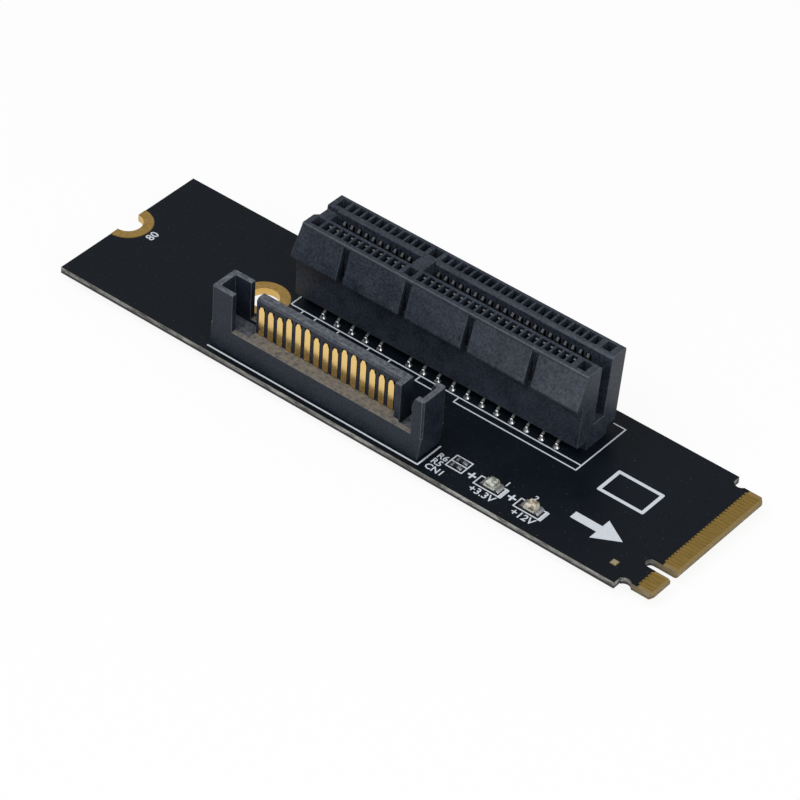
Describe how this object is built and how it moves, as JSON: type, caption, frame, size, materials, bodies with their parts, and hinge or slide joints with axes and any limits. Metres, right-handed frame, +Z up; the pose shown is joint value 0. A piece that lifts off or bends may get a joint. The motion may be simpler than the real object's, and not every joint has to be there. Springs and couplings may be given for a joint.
{
  "type": "gumstick drive socket to expansion slot riser card",
  "caption": "Narrow black circuit board with edge fingers and a key notch at one end, a screw notch at the other, an open-ended expansion slot and an upright drive power plug.",
  "frame": {"origin": "under the middle of the board, at the level of the lowest soldered tails", "axes": "+X along the board towards the finger tip, +Y from the power plug towards the expansion slot, +Z up out of the board"},
  "size_m": [0.08, 0.022, 0.0131],
  "materials": {
    "board": "glass laminate under black solder mask",
    "gold_finish": "thin gold over copper",
    "slot_plastic": "moulded, fine matt",
    "spring_metal": "plated spring strip",
    "plug_plastic": "moulded, fine matt",
    "gold_blade": "gold plated",
    "chip_body": "glazed ceramic chip",
    "tinned_metal": "tinned",
    "lamp_base": "white laminate",
    "lamp_lens": "clear resin"
  },
  "bodies": {
    "root": {"circuit_board": "board", "edge_fingers_top": "gold_finish", "edge_fingers_bottom": "gold_finish", "end_notch_pads": "gold_finish", "mid_hole_pads": "gold_finish", "fiducial_pad": "gold_finish", "slot_housing": "slot_plastic", "slot_contacts_front_outer": "spring_metal", "slot_contacts_front_inner": "spring_metal", "slot_contacts_back_outer": "spring_metal", "slot_contacts_back_inner": "spring_metal", "plug_housing": "plug_plastic", "plug_contacts": "gold_blade", "resistor_1_body": "chip_body", "resistor_1_caps": "tinned_metal", "resistor_2_body": "chip_body", "resistor_2_caps": "tinned_metal", "indicator_1_base": "lamp_base", "indicator_1_lens": "lamp_lens", "indicator_1_ends": "tinned_metal", "indicator_2_base": "lamp_base", "indicator_2_lens": "lamp_lens", "indicator_2_ends": "tinned_metal"}
  },
  "joints": []
}
